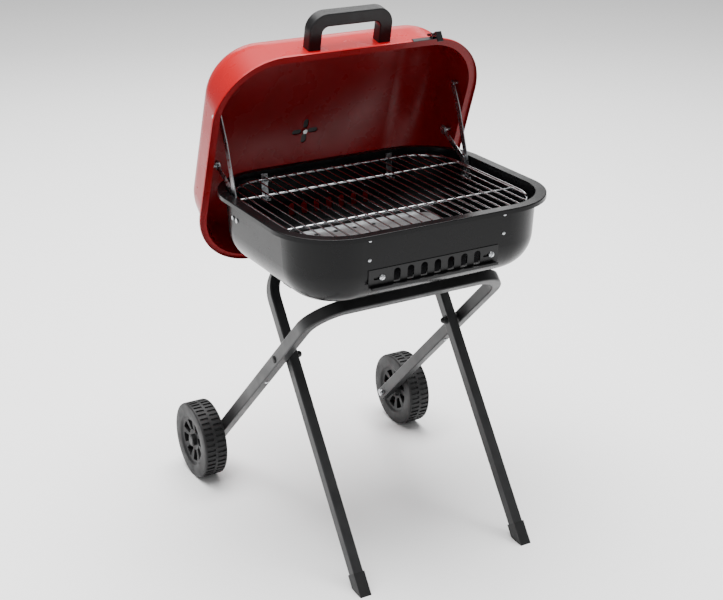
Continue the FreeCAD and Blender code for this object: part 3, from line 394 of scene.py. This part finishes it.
def makeWheel(side, name):
    # one moulded wheel: staggered tread notches, a dished disc and tapered pockets between its spokes
    wide, radius, bore, recess = (wheel[size] for size in ("wide", "radius", "bore", "hubRecess"))
    treadTop = radius - 0.5
    rim = [(wheel["pocketIn"], 8.3), (wheel["pocketOut"], 4.9), (51, 4.1), (52.5, 3.4), (55, 0.6), (56.5, 0),
           (78, 0), (80.2, 0.4), (82, 1.6)]
    tread = [(radius, edge) for row in wheel["rows"] for edge in row]
    farRim = [(reach, wide - depth) for reach, depth in reversed(rim)]
    hub = [(bore, 0), (15, 0), (18, recess)]
    farHub = [(18, wide - recess), (bore, wide - recess), (bore, 0)]
    bm = lathe(hub + rim + tread + farRim + farHub, wheel["steps"])
    pitch = math.tau / wheel["steps"]
    sector = wheel["steps"] // wheel["pockets"]
    notches, pockets = [], []
    for face in bm.faces:
        spot = face.calc_center_median() / mm
        reach = math.hypot(spot.x, spot.y)
        step = int(math.atan2(spot.y, spot.x) % math.tau / pitch)
        for row, (low, high) in enumerate(wheel["rows"]):
            onRow = reach > treadTop and low < spot.z < high
            if onRow and (step + 2 * row) % wheel["notchStep"] < 2:
                notches.append(face)
        onDisc = wheel["pocketIn"] < reach < wheel["pocketOut"]
        if onDisc and step % sector < sector * wheel["pocketShare"]:
            pockets.append(face)
    for faces, kind in ((pockets, "pocket"), (notches, "notch")):
        bmesh.ops.inset_region(bm, faces=faces, thickness=wheel[kind + "Edge"] * mm,
                               depth=-wheel[kind + "Deep"] * mm, use_boundary=True, use_even_offset=True)
    bm.transform(placeAt(side * wheel["inner"], wheel["axleY"], wheel["axleZ"], (0, 90 * side, 0)))
    finishPiece(f"treadedWheel_{name}", bm, f"wheel_{name}", "wheel_plastic", f"wheel_{name}")


for wheelSide, wheelName in ((-1, "left"), (1, "right")):
    makeWheel(wheelSide, wheelName)
print("wheels made")


fasteners = {"rivetX": 145, "rivetLevels": (694, 656), "rivetRadius": 3.6, "rivetTall": 2.0,
             "screwX": 118.5, "screwLevel": 618, "screwRadius": 6.0, "screwTall": 2.9,
             "screwTurns": (35, 48), "slotWide": 1.5, "slotDeep": 1.6, "shutterFace": 1.7}
bowlWall = {"halfDepth": 214.9, "rim": 710, "taper": 3.3}


def wallAt(level):
    # half depth of the bowl's outer wall at a height
    return bowlWall["halfDepth"] - (bowlWall["rim"] - level) * math.tan(math.radians(bowlWall["taper"]))


def makeRivets():
    # domed heads outside the bowl where the grate brackets are riveted on
    parts = []
    head = dome(fasteners["rivetRadius"], fasteners["rivetTall"])
    for front in (-1, 1):
        for side in (-1, 1):
            for level in fasteners["rivetLevels"]:
                spot = placeAt(side * fasteners["rivetX"], front * wallAt(level), level, (-90 * front, 0, 0))
                parts.append((head, spot))
    finishPiece("domedRivets", joined(parts), "bowl", "zinc_plate", "bracket_rivets")


def makeScrews(name, front):
    # pan-head screws with a driver slot, each left at its own turn
    parts = []
    radius, tall = fasteners["screwRadius"], fasteners["screwTall"]
    wall = front * (wallAt(fasteners["screwLevel"]) + fasteners["shutterFace"])
    for side, turn in zip((-1, 1), fasteners["screwTurns"]):
        head = dome(radius, tall, steps=32, foot=0.9)
        slotTool = bmesh.new()
        bmesh.ops.create_cube(slotTool, size=1)
        slotSize = (4 * radius * mm, fasteners["slotWide"] * mm, 2 * fasteners["slotDeep"] * mm)
        bmesh.ops.scale(slotTool, vec=slotSize, verts=slotTool.verts)
        bmesh.ops.rotate(slotTool, cent=(0, 0, 0), matrix=Matrix.Rotation(math.radians(turn), 3, "Z"),
                         verts=slotTool.verts)
        bmesh.ops.translate(slotTool, vec=(0, 0, tall * mm), verts=slotTool.verts)
        spot = placeAt(side * fasteners["screwX"], wall, fasteners["screwLevel"], (-90 * front, 0, 0))
        parts.append((cutWith(head, slotTool), spot))
    finishPiece("slotted_" + name, joined(parts), "bowl", "zinc_plate", name)


makeRivets()
makeScrews("front_shutter_screws", -1)
makeScrews("rear_shutter_screws", 1)
print("rivets and screws made")


pivots = {"y": 26.578, "z": 385.117, "outer": 223.6, "inner": 175.0, "bore": 4.05,
          "washerRadius": 9, "washerThick": 1.7, "nutRadius": 6.6, "nutShoulder": 6.5, "nutRise": 5.4,
          "boltRadius": 7.5, "boltShoulder": 1.2, "boltRise": 2.3, "shankRadius": 4, "shankEnd": -58}


def makePivotHardware():
    # domed cap nuts on washers inside, low button heads outside
    nuts, bolts = [], []
    bore, nut, bolt = pivots["bore"], pivots["nutRadius"], pivots["boltRadius"]
    end, shankRadius = pivots["shankEnd"], pivots["shankRadius"]
    washer = [(bore, 0.1), (pivots["washerRadius"], 0.1), (pivots["washerRadius"], pivots["washerThick"])]
    cap = washer + [(nut, 1.9), (nut, pivots["nutShoulder"])]
    cap += quarterRound(nut, pivots["nutShoulder"], pivots["nutRise"], 7)
    cap += [(0, 9.2), (bore, 9.1), (bore, 0.1)]
    button = [(0, 0.3), (bolt, 0.3), (bolt, pivots["boltShoulder"])]
    button += quarterRound(bolt, pivots["boltShoulder"], pivots["boltRise"], 6)
    shank = [(0, end), (shankRadius, end), (shankRadius, 0.5), (0, 0.5)]
    for side in (-1, 1):
        inside = placeAt(side * pivots["inner"], pivots["y"], pivots["z"], (0, -90 * side, 0))
        nuts.append((lathe(cap, 28), inside))
        out = placeAt(side * pivots["outer"], pivots["y"], pivots["z"], (0, 90 * side, 0))
        bolts += [(lathe(button, 28), out), (lathe(shank, 20), out)]
    finishPiece("capNuts", joined(nuts), "foot_frame", "cap_plastic", "pivot_nuts")
    finishPiece("buttonBolts", joined(bolts), "foot_frame", "cap_plastic", "pivot_bolts")


makePivotHardware()
print("pivot hardware made")


snap = {"radius": 4.1, "tall": 2.7, "baseRadius": 5.4, "along": 16, "tubeWide": 21, "tubeDeep": 25}
snap["frames"] = {
    "wheel_frame": {"angle": 135.48, "from": (333.8, 83.0), "seam": 320, "half": 223.6, "face": 1},
    "foot_frame": {"angle": 54.1, "from": (-252.2, 0.0), "seam": 381, "half": 196.0, "face": -1}}


def alongLeg(frame, distance, off):
    # place on a leg frame in the side view, measured up from its axle or foot
    layout = snap["frames"][frame]
    angle = math.radians(layout["angle"])
    y, z = layout["from"]
    along, across = (math.cos(angle), math.sin(angle)), (-math.sin(angle), math.cos(angle))
    return (y + distance * along[0] + off * across[0], z + distance * along[1] + off * across[1])


def makeSnapButtons():
    # bright rounded heads of the snap buttons, each on its own sliding body
    for frame, layout in snap["frames"].items():
        for side, name in ((-1, "left"), (1, "right")):
            head = dome(snap["radius"], snap["tall"], steps=24, foot=1.0)
            stem = lathe([(0, -5.2), (snap["radius"], -5.2), (snap["radius"], -0.5), (0, -0.5)], 24)
            wide = snap["baseRadius"]
            base = lathe([(0, -6.2), (wide, -6.2), (wide, -5.0), (0, -5.0)], 24)
            y, z = alongLeg(frame, layout["seam"] + snap["along"], layout["face"] * snap["tubeDeep"] / 2)
            tip = layout["angle"] if layout["face"] > 0 else layout["angle"] + 180
            at = placeAt(side * (layout["half"] - snap["tubeWide"] / 2), y, z, (tip, 0, 0))
            finishPiece(f"snapButton_{frame}_{name}", joined([(head, at), (stem, at), (base, at)]),
                        f"{frame.split('_')[0]}_button_{name}", "zinc_plate", f"{frame}_button_{name}")


makeSnapButtons()
print("snap buttons made")


# Camera, floor and lamps

studio = {"floorColour": "ffffff", "lens": 72.77, "azimuth": -29.96, "elevation": 20.74, "distance": 2.869,
          "target": (-20.49, 0, 562.56), "shiftX": -0.0129, "shiftY": -0.0545, "surround": 0.4,
          "lamps": {
              "overhead": {"at": (0.0, 0.4, 4.2), "size": (4.5, 4.5), "power": 620, "aim": (0, 0, 0)},
              "leftBank": {"at": (-3.4, -1.4, 1.5), "size": (1.2, 2.4), "power": 8, "aim": (0, 0, 0.5)},
              "rearBank": {"at": (1.4, 3.2, 2.2), "size": (2.4, 1.2), "power": 26, "aim": (0, 0, 0.6)}}}


def makeCamera():
    # long lens, set by its azimuth and elevation round the target
    camera = bpy.data.cameras.new("camera")
    camera.lens = studio["lens"]
    camera.sensor_width = 36
    camera.shift_x, camera.shift_y = studio["shiftX"], studio["shiftY"]
    camera.clip_end = 50
    seat = bpy.data.objects.new("camera", camera)
    bpy.context.scene.collection.objects.link(seat)
    turn, rise = math.radians(studio["azimuth"]), math.radians(studio["elevation"])
    back = Vector((math.sin(turn) * math.cos(rise), -math.cos(turn) * math.cos(rise), math.sin(rise)))
    x, y, z = studio["target"]
    seat.location = Vector((x, y + setBack, z)) * mm + back * studio["distance"]
    seat.rotation_euler = back.to_track_quat("Z", "Y").to_euler()
    bpy.context.scene.camera = seat


def addLamp(name, at, size, power, aim):
    # white area lamp that faces its aim
    lamp = bpy.data.lights.new(name, "AREA")
    lamp.shape = "RECTANGLE"
    lamp.size, lamp.size_y = size
    lamp.energy = power
    holder = bpy.data.objects.new(name, lamp)
    holder.location = at
    holder.rotation_euler = (Vector(at) - Vector(aim)).to_track_quat("Z", "Y").to_euler()
    bpy.context.scene.collection.objects.link(holder)


def makeStudio():
    # plain pale floor, even surround and the lamps
    bm = bmesh.new()
    bmesh.ops.create_grid(bm, x_segments=1, y_segments=1, size=15)
    mesh = bpy.data.meshes.new("studioFloor")
    bm.to_mesh(mesh)
    bm.free()
    floor = bpy.data.objects.new("studioFloor", mesh)
    bpy.context.scene.collection.objects.link(floor)
    mesh.materials.append(newMaterial("paintedFloor", studio["floorColour"], 0.0, 0.9)[0])
    world = bpy.data.worlds.new("studioWorld")
    world.use_nodes = True
    world.node_tree.nodes["Background"].inputs["Color"].default_value = linear("ffffff")
    world.node_tree.nodes["Background"].inputs["Strength"].default_value = studio["surround"]
    bpy.context.scene.world = world
    for name, lamp in studio["lamps"].items():
        addLamp(name, **lamp)


makeCamera()
makeStudio()
print("camera and lamps set")
